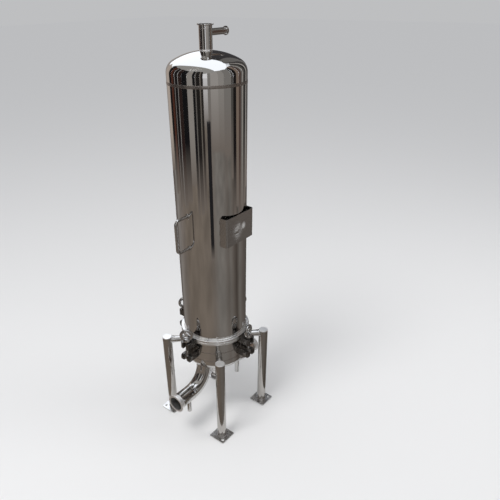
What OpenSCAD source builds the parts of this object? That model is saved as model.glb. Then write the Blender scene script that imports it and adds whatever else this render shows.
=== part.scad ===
// Multi-cartridge filter housing: a lift-off bell held on a short base by four
// swing-bolt closures, two bottom elbows, a centre outlet and four tubular legs.
// The origin is on the floor, on the axis of the housing. X runs from the inlet
// to the outlet, the nameplate bracket faces -Y and Z is up. Millimetres.

/* [Shells] */
// Outside diameter of the bell and the base
shell_d = 254; // [250:1:280]
// Wall thickness of the shells and dished ends
shell_wall = 3; // [2:0.5:4]
// Height of the lower edge of the base shell above the floor
base_z = 344; // [330:1:420]
// Length of the base shell
base_h = 90; // [84:1:120]
// Straight flange of the bell head
head_flange = 25; // [10:1:30]
// Straight flange of the bottom dish
dish_flange = 15; // [10:1:20]

/* [Joint rings] */
// How far the two rings stand out past the shell
ring_lip = 13; // [12:0.5:16]
// Thickness of each ring
ring_t = 10; // [9:0.5:14]
// Rounding of the outer edges of the rings
ring_edge_r = 2.5; // [1:0.1:4]
// Gap that the seal keeps between the rings
ring_gap = 1; // [0.5:0.1:1.5]
// Free section diameter of the seal ring
seal_d = 7; // [6:0.1:7.5]

/* [Closures] */
// Diameter of the swing bolts
bolt_d = 12; // [10:1:13]
// Distance of the bolt line outside the edge of the rings
bolt_offset = 32; // [29:1:36]
// Height of the joint above the pivot pins
pivot_drop = 64; // [56:1:68]
// Outside width of a fork lug and of a clevis
lug_w = 40; // [38:1:46]
// Depth of a fork lug from its top to its underside
fork_h = 29; // [24:1:34]
// Diameter of the pivot pins
pin_d = 12; // [10:1:14]
// Thickness of one clevis plate
clevis_t = 10; // [8:0.5:11]
// Outside diameter of the ring of an eye nut
eye_ring_d = 54; // [50:1:58]
// Section diameter of the ring of an eye nut
eye_wire_d = 12; // [10:0.5:13]
// Diameter of the foot of an eye nut
eye_foot_d = 30; // [26:1:32]
// Overall height of an eye nut
eye_nut_h = 53; // [50:1:56]

/* [Pipes] */
// Outside diameter of the inlet and outlet pipes
pipe_d = 63.5; // [50.8:0.1:66]
// Wall thickness of the pipes
pipe_wall = 1.65; // [1.5:0.05:2.5]
// Height of the base shell above the axis of the pipe runs
run_drop = 157; // [150:1:165]
// Centreline radius of the two elbows
elbow_r = 95.25; // [80:0.25:100]
// Distance of the inlet and outlet faces from the axis
pipe_reach = 262; // [245:1:300]
// Outside diameter of the centre outlet
centre_d = 50.8; // [38.1:0.1:52]
// Outside diameter of the drain stubs
drain_d = 20; // [16:1:24]
// Height of the drain stubs above the floor
drain_z = 92; // [60:1:110]
// Distance of the inlet drain from the axis
inlet_drain_x = 186; // [180:1:200]
// Distance of the outlet drain from the axis
outlet_drain_x = 145; // [140:1:160]

/* [Vent stack] */
// Outside diameter of the vent stack
stack_d = 41; // [38:0.5:42]
// Height of the vent stack above the top of the head
stack_h = 69.3; // [60:0.1:90]
// Outside diameter of the side branch
branch_d = 19.05; // [12.7:0.05:19.05]
// Distance of the branch face from the axis
branch_reach = 96.5; // [70:0.5:120]

/* [Handles] */
// Rod diameter of the lifting handles
handle_rod_d = 10; // [8:1:12]
// Distance between the two legs of a handle
handle_span = 120; // [90:1:140]
// Distance of the handle grip from the shell
handle_reach = 58; // [45:1:70]
// Place of the handles and the bracket up the bell, as a part of its length
handle_place = 0.487; // [0.3:0.001:0.7]

/* [Nameplate bracket] */
// Width of the bracket
plate_w = 152; // [120:1:180]
// Height of the bracket
plate_h = 104; // [80:1:120]
// Sheet thickness of the bracket
plate_t = 2; // [1.5:0.5:3]
// Distance of the bracket face in front of the shell
plate_gap = 5; // [4:0.5:12]

/* [Legs] */
// Outside diameter of the leg tubes
leg_d = 38.1; // [32:0.1:42]
// Distance of the leg axes outside the shell
leg_offset = 77; // [60:1:90]
// Height of the leg tops above the lower edge of the base shell
leg_rise = 54; // [46:1:60]
// Outside diameter of the arms between legs and base
arm_d = 28; // [24:1:30]
// Side of the square foot plates
foot_w = 75; // [70:1:90]
// Thickness of the foot plates
foot_t = 6; // [5:0.5:10]
// Diameter of the bolt holes in the foot plates
foot_hole_d = 12; // [10:0.5:14]

/* [Cartridges] */
// Length of the filter cartridges
cartridge_l = 1016; // [508:254:1016]
// Gap between two neighbouring cartridges
cartridge_spacing = 10; // [8:0.5:14]
// Gap between the outer cartridges and the shell
cartridge_gap = 9; // [8:0.5:14]

/* [Hidden] */
$fn = 96;
// Running fit of the pins and nuts, on the radius
running_fit = 0.05;
// Gap between faces that turn or slide past each other
seat_gap = 0.3;
// Extra length of every cutting shape
over = 1;
// Worked-out heights are kept to a tenth, so that faces meet exactly
function tenth(x) = round(10 * x) / 10;

shell_r = shell_d / 2;
shell_id = shell_d - 2 * shell_wall;
ring_r = shell_r + ring_lip;

// One cartridge in the middle and a ring of equal ones around it fill the shell
cartridge_d = (shell_id / 2 - cartridge_gap - cartridge_spacing) / 1.5;
cartridge_ring_r = cartridge_d + cartridge_spacing;

// Heights of the base and its joint
base_top_z = base_z + base_h;
split_z = base_top_z + ring_t;
bell_ring_z = split_z + ring_gap;
bell_z = bell_ring_z + ring_t;
sheet_rise = 36;
sheet_t = 12;
sheet_z = base_z + sheet_rise;
sheet_top_z = sheet_z + sheet_t;

// Dished ends: large crown radius, small knuckle radius
crown_ratio = 0.9;
knuckle_ratio = 0.154;
crown_r = crown_ratio * shell_d;
knuckle_r = knuckle_ratio * shell_d;
crown_drop = sqrt(pow(crown_r - knuckle_r, 2) - pow(shell_r - knuckle_r, 2));
dish_depth = crown_r - crown_drop;

// The bell is as tall as the cartridges need: the knuckle of its head closes over
// the corners of the outer end caps
head_gap = 6;
cap_corner_r = shell_id / 2 - cartridge_gap;
cap_rise = sqrt(pow(knuckle_r - shell_wall - head_gap, 2)
    - pow(cap_corner_r - shell_r + knuckle_r, 2));
cartridge_top_z = sheet_top_z + cartridge_l;
seam_z = tenth(cartridge_top_z - head_flange - cap_rise);
bell_h = seam_z - bell_z;
head_top_z = tenth(seam_z + head_flange + dish_depth);
dish_bottom_z = base_z - dish_flange - dish_depth;

// Seal ring, squeezed between the bottom of its groove and the upper ring
seal_squeeze = 0.07;
seal_space = seal_d * (1 - seal_squeeze);
groove_depth = seal_space - ring_gap;
groove_side_gap = 0.4;
groove_w = seal_d + 2 * groove_side_gap;
groove_r = (shell_id / 2 + ring_r) / 2;

// Closures
closure_angles = [0, 90, 180, 270];
// Turn of each eye nut away from the radial direction
eye_turns = [24, -33, 41, 12];
bolt_r = ring_r + bolt_offset;
pivot_z = split_z - pivot_drop;
fork_slot_gap = 1;
fork_slot = bolt_d + 2 * fork_slot_gap;
fork_tail = 16;
fork_end_r = bolt_r + fork_tail;
fork_side_gap = 1.5;
fork_arc_r = bell_z - pivot_z;
fork_corner_r = 5;
clevis_h = 30;
clevis_tail = 18;
clevis_end_r = bolt_r + clevis_tail;
clevis_corner_r = 11;
clevis_gap = lug_w - 2 * clevis_t;
eye_side_gap = 0.5;
bolt_eye_d = 26;
bolt_neck_h = 9;
bolt_neck_inset = 1;
bolt_chamfer = 1;
pin_head_d = 18;
pin_head_t = 4;
pin_tail = 4;
clip_t = 1.2;
clip_gap = 0.6;
washer_d = 24;
washer_t = 2.5;
washer_clear = 1;
washer_z = bell_z + seat_gap;
nut_z = washer_z + washer_t + seat_gap;
eye_z = eye_nut_h - eye_ring_d / 2;
nut_foot_h = eye_z - eye_ring_d / 2 + eye_wire_d;
eye_taper_h = 6;
eye_taper = 5;
bolt_stickout = 1;
bolt_end_z = nut_z + nut_foot_h + bolt_stickout;

// Pipes
pipe_x = cartridge_ring_r;
pipe_id = pipe_d - 2 * pipe_wall;
turn_x = pipe_x + elbow_r;
run_z = base_z - run_drop;
elbow_z = run_z + elbow_r;
ferrule_l = 21.5;
short_ferrule_l = 12.7;
rim_t = 2.85;
rim_slope = 20;
pipe_rim_d = 77.5;
centre_rim_d = 64;
stack_rim_d = 50.5;
branch_rim_d = 25.4;
riser_rise = 15;
riser_top_z = sheet_top_z + riser_rise;
centre_id = centre_d - 2 * pipe_wall;
drain_wall = 1.5;
drain_id = drain_d - 2 * drain_wall;

// Vent stack
stack_wall = 1.5;
stack_id = stack_d - 2 * stack_wall;
stack_top_z = head_top_z + stack_h;
branch_id = branch_d - 2 * stack_wall;
branch_drop = 23;
branch_z = stack_top_z - branch_drop;

// Handles and bracket
handle_z = tenth(bell_z + handle_place * bell_h);
handle_corner_r = 16;
handle_grip_r = shell_r + handle_reach;
collar_d = 17;
collar_t = 3.5;
plate_rise = 9.5;
plate_z = handle_z + plate_rise - plate_h / 2;
plate_bend_r = 9;
plate_depth = 45;

// Legs
leg_r = shell_r + leg_offset;
leg_wall = 2;
leg_cap_t = 3;
leg_cap_edge_r = 1.2;
leg_top_z = base_z + leg_rise;
arm_drop = 16;
arm_z = leg_top_z - arm_drop;
leg_angles = [225, 315, 45, 135];
foot_hole_offset = 34;
foot_corner_r = 5;

// Cartridges: one in the middle and five around it, the sixth place is the riser's
outer_angles = [0, 60, -60, 120, -120];
cartridge_places = concat([[0, 0]], [for (a = outer_angles)
    [cartridge_ring_r * cos(a), cartridge_ring_r * sin(a)]]);
end_cap_h = 8;
cage_wall = 2;
media_gap = 0.5;
core_d = 35;
core_wall = 2;
spigot_bore_d = 27;
socket_id = 50;
socket_d = 57;
socket_drop = 30;
spigot_gap = 1;
spigot_d = socket_id - 2 * spigot_gap;
spigot_seal_d = 3.6;
spigot_seal_pitch = 9;
guide_plate_t = 4;
guide_plate_rim = 20;
guide_plate_d = 2 * (cartridge_ring_r + guide_plate_rim);
guide_hole_d = 36;
rod_d = 8;
rod_r = cartridge_ring_r / sqrt(3);
rod_angles = [30, 150, 270];
rod_nut_d = 15;
rod_nut_h = 6.5;
rod_end = 4;

// Straight tube on the Z axis
module tube(od, id, h) {
    difference() {
        cylinder(d = od, h = h);
        translate([0, 0, -over]) cylinder(d = id, h = h + 2 * over);
    }
}

// Half section of a dished end that is filled to the axis, open edge at y = 0.
// The knuckle and crown arcs meet on the line between their two centres.
module dish_section(inset, flange) {
    rim = shell_r - inset;
    crown = crown_r - inset;
    knuckle = knuckle_r - inset;
    knuckle_x = rim - knuckle;
    reach = 1.1 * crown / norm([knuckle_x, crown_drop]);
    square([rim, flange]);
    translate([0, flange]) intersection() {
        square([rim, rim]);
        union() {
            translate([knuckle_x, 0]) circle(r = knuckle);
            intersection() {
                translate([0, -crown_drop]) circle(r = crown, $fn = 256);
                polygon([[0, -crown_drop],
                    [reach * knuckle_x, (reach - 1) * crown_drop],
                    [0, crown - crown_drop + over]]);
            }
        }
    }
}

// Filled dished end; an inset equal to the wall gives its inside
module dished_end(inset, flange) {
    rotate_extrude($fn = 192) dish_section(inset, flange);
}

module bottom_dish_solid(inset) {
    translate([0, 0, base_z]) mirror([0, 0, 1]) dished_end(inset, dish_flange);
}

module head_solid(inset) {
    translate([0, 0, seam_z]) dished_end(inset, head_flange);
}

// Clamp ferrule on the Z axis with its face at z = 0 and its neck below
module ferrule(od, id, rim_d, length) {
    cone_h = (rim_d - od) / 2 * tan(rim_slope);
    groove_mid = rim_d / 2 - 3.4;
    groove_half = 1.3;
    groove_deep = 0.9;
    rotate_extrude() polygon([[id / 2, -length], [od / 2, -length],
        [od / 2, -rim_t - cone_h], [rim_d / 2, -rim_t], [rim_d / 2, 0],
        [groove_mid + groove_half, 0], [groove_mid, -groove_deep],
        [groove_mid - groove_half, 0], [id / 2, 0]]);
}

// Joint ring with rounded outer edges, lower face at z = 0
module joint_ring() {
    width = ring_r - shell_id / 2;
    rotate_extrude($fn = 192) translate([shell_id / 2, 0]) {
        square([width - ring_edge_r, ring_t]);
        translate([0, ring_edge_r]) square([width, ring_t - 2 * ring_edge_r]);
        for (y = [ring_edge_r, ring_t - ring_edge_r])
            translate([width - ring_edge_r, y]) circle(r = ring_edge_r, $fn = 32);
    }
}

// The bell

module bell_shell() {
    color("silver") translate([0, 0, bell_z]) tube(shell_d, shell_id, bell_h, $fn = 192);
}

module bell_head() {
    color("silver") difference() {
        head_solid(0);
        head_solid(shell_wall);
        translate([0, 0, head_top_z - stack_h]) cylinder(d = stack_id, h = 2 * stack_h);
    }
}

module bell_ring() {
    color("gainsboro") translate([0, 0, bell_ring_z]) joint_ring();
}

// Plan of a fork lug along +X: two ears beside the slot for the bolt
module fork_plan() {
    difference() {
        union() {
            translate([0, -lug_w / 2]) square([fork_end_r - fork_corner_r, lug_w]);
            translate([0, fork_corner_r - lug_w / 2])
                square([fork_end_r, lug_w - 2 * fork_corner_r]);
            for (s = [-1, 1])
                translate([fork_end_r - fork_corner_r, s * (lug_w / 2 - fork_corner_r)])
                    circle(r = fork_corner_r);
        }
        translate([bolt_r, 0]) circle(d = fork_slot);
        translate([bolt_r, -fork_slot / 2]) square([bolt_r, fork_slot]);
    }
}

// Side view of a fork lug: the ears fall away along an arc about the pivot,
// so that the washer clears them as the bolt swings out
module fork_side() {
    translate([bolt_r, pivot_z]) circle(r = fork_arc_r, $fn = 192);
    translate([0, bell_z - fork_h]) square([bolt_r, fork_h]);
}

module fork_lugs() {
    color("dimgray") for (a = closure_angles) rotate([0, 0, a]) difference() {
        intersection() {
            translate([0, 0, bell_z - fork_h]) linear_extrude(fork_h) fork_plan();
            rotate([90, 0, 0]) linear_extrude(2 * lug_w, center = true) fork_side();
        }
        cylinder(r = ring_r, h = bell_z + over, $fn = 192);
        cylinder(r = ring_r + fork_side_gap, h = bell_ring_z, $fn = 192);
    }
}

module vent_stack() {
    foot_z = head_top_z - knuckle_r;
    color("silver") difference() {
        translate([0, 0, foot_z])
            tube(stack_d, stack_id, stack_top_z - short_ferrule_l - foot_z);
        head_solid(0);
        translate([0, 0, branch_z]) rotate([0, 90, 0]) cylinder(d = branch_id, h = stack_d);
    }
}

module vent_ferrule() {
    color("gainsboro") translate([0, 0, stack_top_z])
        ferrule(stack_d, stack_id, stack_rim_d, short_ferrule_l);
}

module vent_branch() {
    color("silver") difference() {
        translate([0, 0, branch_z]) rotate([0, 90, 0])
            tube(branch_d, branch_id, branch_reach - short_ferrule_l);
        cylinder(d = stack_d, h = stack_top_z);
    }
}

module branch_ferrule() {
    color("gainsboro") translate([branch_reach, 0, branch_z]) rotate([0, 90, 0])
        ferrule(branch_d, branch_id, branch_rim_d, short_ferrule_l);
}

// Bent rod handle on +X, cut where its legs meet the shell
module handle() {
    half = handle_span / 2;
    straight = handle_grip_r - handle_corner_r;
    color("silver") difference() {
        translate([0, 0, handle_z]) rotate([90, 0, 0]) {
            for (s = [-1, 1]) {
                translate([0, s * half, 0]) rotate([0, 90, 0])
                    cylinder(d = handle_rod_d, h = straight);
                translate([0, s * half, 0]) rotate([0, 90, 0])
                    cylinder(d = collar_d, h = shell_r + collar_t);
                translate([straight, s * (half - handle_corner_r), 0])
                    rotate([0, 0, s > 0 ? 0 : -90]) rotate_extrude(angle = 90)
                        translate([handle_corner_r, 0]) circle(d = handle_rod_d, $fn = 48);
            }
            translate([handle_grip_r, handle_corner_r - half, 0]) rotate([-90, 0, 0])
                cylinder(d = handle_rod_d, h = handle_span - 2 * handle_corner_r);
        }
        cylinder(d = shell_d, h = seam_z, $fn = 192);
    }
}

module handle_inlet_side() {
    rotate([0, 0, 180]) handle();
}

module handle_outlet_side() {
    handle();
}

// Plan of the bracket with two rounded front corners, front edge at y = 0
module bracket_plan(w, r) {
    translate([-w / 2, r]) square([w, plate_depth]);
    translate([r - w / 2, 0]) square([w - 2 * r, plate_depth]);
    for (s = [-1, 1]) translate([s * (w / 2 - r), r]) circle(r = r);
}

module nameplate_bracket() {
    front = shell_r + plate_gap;
    color("darkgray") translate([0, 0, plate_z]) linear_extrude(plate_h) difference() {
        translate([0, -front]) bracket_plan(plate_w, plate_bend_r);
        translate([0, plate_t - front])
            bracket_plan(plate_w - 2 * plate_t, plate_bend_r - plate_t);
        circle(d = shell_d, $fn = 192);
    }
}

// The base

module seal_ring() {
    color("white") rotate_extrude($fn = 192)
        translate([groove_r, split_z - groove_depth + seal_space / 2]) intersection() {
            circle(d = seal_d, $fn = 48);
            square([2 * seal_d, seal_space], center = true);
        }
}

module base_ring() {
    color("gainsboro") difference() {
        translate([0, 0, base_top_z]) joint_ring();
        translate([0, 0, split_z - groove_depth])
            tube(2 * groove_r + groove_w, 2 * groove_r - groove_w, groove_depth + over, $fn = 192);
    }
}

module base_shell() {
    color("silver") translate([0, 0, base_z]) tube(shell_d, shell_id, base_h, $fn = 192);
}

module base_dish() {
    color("silver") difference() {
        bottom_dish_solid(0);
        bottom_dish_solid(shell_wall);
        pipe_solid(-1, pipe_d, sheet_z);
        translate([pipe_x, 0, run_z]) cylinder(d = pipe_id, h = base_z - run_z);
        translate([0, 0, run_z]) cylinder(d = centre_id, h = base_z - run_z);
    }
}

module tube_sheet() {
    color("silver") translate([0, 0, sheet_z]) difference() {
        cylinder(d = shell_id, h = sheet_t, $fn = 192);
        translate([-pipe_x, 0, -over]) cylinder(d = pipe_d, h = sheet_t + 2 * over);
        for (p = cartridge_places)
            translate([p[0], p[1], -over]) cylinder(d = socket_d, h = sheet_t + 2 * over);
    }
}

// Filled pipe on one side: upright up to top_z, elbow and level run; side is -1 or 1
// along X. The run ends where the neck of the ferrule begins.
module pipe_solid(side, d, top_z) {
    mirror([side < 0 ? 1 : 0, 0, 0]) {
        translate([pipe_x, 0, elbow_z]) cylinder(d = d, h = top_z - elbow_z);
        bend() circle(d = d);
        translate([turn_x, 0, run_z]) rotate([0, 90, 0])
            cylinder(d = d, h = pipe_reach - ferrule_l - turn_x);
    }
}

// Quarter bend from the upright to the level run on +X, around a flat section
module bend() {
    translate([turn_x, 0, elbow_z]) rotate([90, 0, 0]) rotate([0, 0, 180])
        rotate_extrude(angle = 90) translate([elbow_r, 0]) children();
}

module elbow() {
    bend() difference() {
        circle(d = pipe_d);
        circle(d = pipe_id);
    }
}

// Level run on +X
module run_pipe() {
    translate([turn_x, 0, run_z]) rotate([0, 90, 0])
        tube(pipe_d, pipe_id, pipe_reach - ferrule_l - turn_x);
}

module run_ferrule(side) {
    color("gainsboro") translate([side * pipe_reach, 0, run_z]) rotate([0, side * 90, 0])
        ferrule(pipe_d, pipe_id, pipe_rim_d, ferrule_l);
}

// Upright bore of a drain stub through the wall of its pipe
module drain_bore(x) {
    translate([x, 0, drain_z - over]) cylinder(d = drain_id, h = run_z - drain_z);
}

// The inlet goes on through the dish and the tube sheet as a riser
module inlet_riser() {
    color("silver") translate([-pipe_x, 0, elbow_z])
        tube(pipe_d, pipe_id, riser_top_z - elbow_z);
}

module inlet_elbow() {
    color("silver") mirror([1, 0, 0]) elbow();
}

module inlet_pipe() {
    color("silver") difference() {
        mirror([1, 0, 0]) run_pipe();
        drain_bore(-inlet_drain_x);
    }
}

// The outlet elbow ends at the outside of the dish
module outlet_elbow() {
    color("silver") difference() {
        union() {
            elbow();
            translate([pipe_x, 0, elbow_z]) tube(pipe_d, pipe_id, base_z - elbow_z);
        }
        bottom_dish_solid(0);
        drain_bore(outlet_drain_x);
    }
}

module outlet_pipe() {
    color("silver") run_pipe();
}

module inlet_ferrule() {
    run_ferrule(-1);
}

module outlet_ferrule() {
    run_ferrule(1);
}

module centre_outlet() {
    color("silver") difference() {
        translate([0, 0, run_z + ferrule_l])
            tube(centre_d, centre_id, base_z - run_z - ferrule_l);
        bottom_dish_solid(0);
    }
}

module centre_ferrule() {
    color("gainsboro") translate([0, 0, run_z]) rotate([180, 0, 0])
        ferrule(centre_d, centre_id, centre_rim_d, ferrule_l);
}

module drain_stub(side, x) {
    color("silver") difference() {
        translate([side * x, 0, drain_z]) tube(drain_d, drain_id, run_z - drain_z);
        pipe_solid(side, pipe_d, base_z);
    }
}

module inlet_drain() {
    drain_stub(-1, inlet_drain_x);
}

module outlet_drain() {
    drain_stub(1, outlet_drain_x);
}

// The closures

// Side view of a clevis plate, with the pin bore
module clevis_side() {
    half = clevis_h / 2;
    inner = half - clevis_corner_r;
    translate([0, pivot_z]) difference() {
        union() {
            translate([0, -half]) square([clevis_end_r - clevis_corner_r, clevis_h]);
            translate([0, -inner]) square([clevis_end_r, 2 * inner]);
            for (s = [-1, 1])
                translate([clevis_end_r - clevis_corner_r, s * inner]) circle(r = clevis_corner_r);
        }
        translate([bolt_r, 0]) circle(d = pin_d);
    }
}

module clevis_lugs() {
    color("dimgray") for (a = closure_angles) rotate([0, 0, a]) difference() {
        for (s = [-1, 1]) translate([0, s * (lug_w - clevis_t) / 2, 0]) rotate([90, 0, 0])
            linear_extrude(clevis_t, center = true) clevis_side();
        cylinder(d = shell_d, h = split_z, $fn = 192);
    }
}

module clevis_pins() {
    color("silver") for (a = closure_angles) rotate([0, 0, a])
        translate([bolt_r, -lug_w / 2, pivot_z]) rotate([-90, 0, 0]) {
            translate([0, 0, -pin_head_t]) cylinder(d = pin_head_d, h = pin_head_t);
            cylinder(d = pin_d, h = lug_w + pin_tail);
        }
}

module pin_clips() {
    color("gray") for (a = closure_angles) rotate([0, 0, a])
        translate([bolt_r, lug_w / 2 + clip_gap, pivot_z]) rotate([-90, 0, 0])
            tube(pin_head_d, pin_d, clip_t);
}

module swing_bolt(i) {
    eye_w = clevis_gap - 2 * eye_side_gap;
    neck_z = bolt_eye_d / 2 - over;
    color("darkgray") rotate([0, 0, closure_angles[i]]) translate([bolt_r, 0, pivot_z])
        difference() {
            union() {
                rotate([90, 0, 0]) cylinder(d = bolt_eye_d, h = eye_w, center = true);
                cylinder(d = bolt_d, h = bolt_end_z - pivot_z - bolt_chamfer);
                translate([0, 0, bolt_end_z - pivot_z - bolt_chamfer])
                    cylinder(d1 = bolt_d, d2 = bolt_d - 2 * bolt_chamfer, h = bolt_chamfer);
                translate([0, 0, neck_z])
                    cylinder(d1 = eye_w - 2 * bolt_neck_inset, d2 = bolt_d, h = bolt_neck_h);
            }
            rotate([90, 0, 0])
                cylinder(d = pin_d + 2 * running_fit, h = eye_w + 2 * over, center = true);
        }
}

module washer(i) {
    color("lightgray") rotate([0, 0, closure_angles[i]]) translate([bolt_r, 0, washer_z])
        tube(washer_d, bolt_d + washer_clear, washer_t);
}

// Lifting eye nut: a ring on a tapered foot that is bored for the bolt
module eye_nut(i) {
    straight_h = nut_foot_h - eye_taper_h;
    color("silver") rotate([0, 0, closure_angles[i]]) translate([bolt_r, 0, nut_z])
        rotate([0, 0, eye_turns[i]]) difference() {
            union() {
                translate([0, 0, eye_z]) rotate([0, 90, 0]) rotate_extrude()
                    translate([(eye_ring_d - eye_wire_d) / 2, 0]) circle(d = eye_wire_d, $fn = 48);
                cylinder(d = eye_foot_d, h = straight_h);
                translate([0, 0, straight_h])
                    cylinder(d1 = eye_foot_d, d2 = eye_foot_d - 2 * eye_taper, h = eye_taper_h);
            }
            translate([0, 0, -eye_ring_d])
                cylinder(d = 2 * eye_ring_d, h = eye_ring_d);
            translate([0, 0, -over])
                cylinder(d = bolt_d + 2 * running_fit, h = nut_foot_h + 2 * over);
        }
}

// The legs

module at_leg(a) {
    rotate([0, 0, a]) translate([leg_r, 0, 0]) rotate([0, 0, -a]) children();
}

module leg(i) {
    color("silver") at_leg(leg_angles[i]) translate([0, 0, foot_t])
        tube(leg_d, leg_d - 2 * leg_wall, leg_top_z - leg_cap_t - foot_t);
}

module leg_arms() {
    color("silver") for (a = leg_angles) rotate([0, 0, a]) difference() {
        translate([0, 0, arm_z]) rotate([0, 90, 0]) tube(arm_d, arm_d - 2 * leg_wall, leg_r);
        cylinder(d = shell_d, h = split_z, $fn = 192);
        translate([leg_r, 0, 0]) cylinder(d = leg_d, h = split_z);
    }
}

// Caps with a rounded upper edge
module leg_caps() {
    edge_x = leg_d / 2 - leg_cap_edge_r;
    edge_z = leg_cap_t - leg_cap_edge_r;
    color("gainsboro") for (a = leg_angles) at_leg(a)
        translate([0, 0, leg_top_z - leg_cap_t]) rotate_extrude() {
            square([edge_x, leg_cap_t]);
            square([leg_d / 2, edge_z]);
            translate([edge_x, edge_z]) circle(r = leg_cap_edge_r, $fn = 32);
        }
}

// Square plates with round corners and one floor bolt hole at the outer corner
module foot_plates() {
    inner = foot_w / 2 - foot_corner_r;
    color("silver") for (a = leg_angles) at_leg(a) linear_extrude(foot_t) difference() {
        union() {
            square([foot_w, 2 * inner], center = true);
            square([2 * inner, foot_w], center = true);
            for (x = [-inner, inner], y = [-inner, inner])
                translate([x, y]) circle(r = foot_corner_r);
        }
        rotate(a) translate([foot_hole_offset, 0]) circle(d = foot_hole_d);
    }
}

// The inside: sockets in the tube sheet, cartridges, guide plate and its rods

module at_cartridges() {
    for (p = cartridge_places) translate([p[0], p[1], 0]) children();
}

module cartridge_sockets() {
    color("silver") at_cartridges() translate([0, 0, sheet_z - socket_drop])
        tube(socket_d, socket_id, socket_drop + sheet_t);
}

// Spigot with two seal grooves, below the lower end cap
module cartridge_adaptors() {
    color("ivory") at_cartridges() difference() {
        translate([0, 0, sheet_z - socket_drop])
            tube(spigot_d, spigot_bore_d, socket_drop + sheet_t);
        for (i = [1, 2]) translate([0, 0, sheet_z - i * spigot_seal_pitch])
            rotate_extrude() translate([socket_id / 2 - spigot_seal_d / 2, 0])
                circle(d = spigot_seal_d, $fn = 32);
    }
}

module cartridge_seals() {
    color("dimgray") at_cartridges() for (i = [1, 2])
        translate([0, 0, sheet_z - i * spigot_seal_pitch]) rotate_extrude()
            translate([socket_id / 2 - spigot_seal_d / 2, 0]) circle(d = spigot_seal_d, $fn = 32);
}

// One long tube of a cartridge, between its end caps
module cartridge_tube(od, id) {
    at_cartridges() translate([0, 0, sheet_top_z + end_cap_h])
        tube(od, id, cartridge_l - 2 * end_cap_h);
}

module cartridge_cages() {
    color("ivory") cartridge_tube(cartridge_d, cartridge_d - 2 * cage_wall);
}

module cartridge_media() {
    color("white") cartridge_tube(cartridge_d - 2 * cage_wall - 2 * media_gap,
        core_d + 2 * media_gap);
}

module cartridge_cores() {
    color("ivory") cartridge_tube(core_d, core_d - 2 * core_wall);
}

module cartridge_end_caps() {
    color("ivory") at_cartridges() {
        translate([0, 0, sheet_top_z]) tube(cartridge_d, spigot_bore_d, end_cap_h);
        translate([0, 0, cartridge_top_z - end_cap_h]) cylinder(d = cartridge_d, h = end_cap_h);
    }
}

module guide_plate() {
    color("silver") translate([0, 0, cartridge_top_z]) difference() {
        cylinder(d = guide_plate_d, h = guide_plate_t);
        for (p = cartridge_places) translate([p[0], p[1], -over])
            cylinder(d = guide_hole_d, h = guide_plate_t + 2 * over);
        for (a = rod_angles) rotate([0, 0, a]) translate([rod_r, 0, -over])
            cylinder(d = rod_d, h = guide_plate_t + 2 * over);
    }
}

module tie_rods() {
    color("silver") for (a = rod_angles) rotate([0, 0, a]) translate([rod_r, 0, sheet_top_z])
        cylinder(d = rod_d, h = cartridge_l + guide_plate_t + rod_nut_h + rod_end);
}

module tie_rod_nuts() {
    color("gray") for (a = rod_angles) rotate([0, 0, a])
        translate([rod_r, 0, cartridge_top_z + guide_plate_t]) difference() {
            cylinder(d = rod_nut_d, h = rod_nut_h, $fn = 6);
            translate([0, 0, -over]) cylinder(d = rod_d, h = rod_nut_h + 2 * over);
        }
}

bell_shell();
bell_head();
bell_ring();
fork_lugs();
vent_stack();
vent_ferrule();
vent_branch();
branch_ferrule();
handle_inlet_side();
handle_outlet_side();
nameplate_bracket();
seal_ring();
base_ring();
base_shell();
base_dish();
tube_sheet();
inlet_riser();
inlet_elbow();
inlet_pipe();
inlet_ferrule();
outlet_elbow();
outlet_pipe();
outlet_ferrule();
centre_outlet();
centre_ferrule();
inlet_drain();
outlet_drain();
clevis_lugs();
clevis_pins();
pin_clips();
swing_bolt(0);  // swing_bolt_1
swing_bolt(1);  // swing_bolt_2
swing_bolt(2);  // swing_bolt_3
swing_bolt(3);  // swing_bolt_4
washer(0);  // washer_1
washer(1);  // washer_2
washer(2);  // washer_3
washer(3);  // washer_4
eye_nut(0);  // eye_nut_1
eye_nut(1);  // eye_nut_2
eye_nut(2);  // eye_nut_3
eye_nut(3);  // eye_nut_4
leg(0);  // leg_1
leg(1);  // leg_2
leg(2);  // leg_3
leg(3);  // leg_4
leg_arms();
leg_caps();
foot_plates();
cartridge_sockets();
cartridge_adaptors();
cartridge_seals();
cartridge_cages();
cartridge_media();
cartridge_cores();
cartridge_end_caps();
guide_plate();
tie_rods();
tie_rod_nuts();
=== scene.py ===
import math

import bpy
from mathutils import Matrix, Vector


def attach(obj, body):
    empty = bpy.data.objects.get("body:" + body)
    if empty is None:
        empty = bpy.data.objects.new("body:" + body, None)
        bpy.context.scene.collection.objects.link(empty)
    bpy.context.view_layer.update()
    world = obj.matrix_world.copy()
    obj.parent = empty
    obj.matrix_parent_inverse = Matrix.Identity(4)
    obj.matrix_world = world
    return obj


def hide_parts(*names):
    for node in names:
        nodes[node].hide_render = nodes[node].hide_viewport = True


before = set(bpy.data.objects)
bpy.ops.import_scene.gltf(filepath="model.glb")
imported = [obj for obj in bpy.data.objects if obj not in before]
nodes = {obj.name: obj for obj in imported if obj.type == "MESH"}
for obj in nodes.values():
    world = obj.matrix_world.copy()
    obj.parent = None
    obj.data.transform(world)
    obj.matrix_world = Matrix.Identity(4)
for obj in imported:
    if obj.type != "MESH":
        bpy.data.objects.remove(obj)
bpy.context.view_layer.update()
scene = bpy.context.scene
scene.view_settings.view_transform = "Standard"

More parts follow.
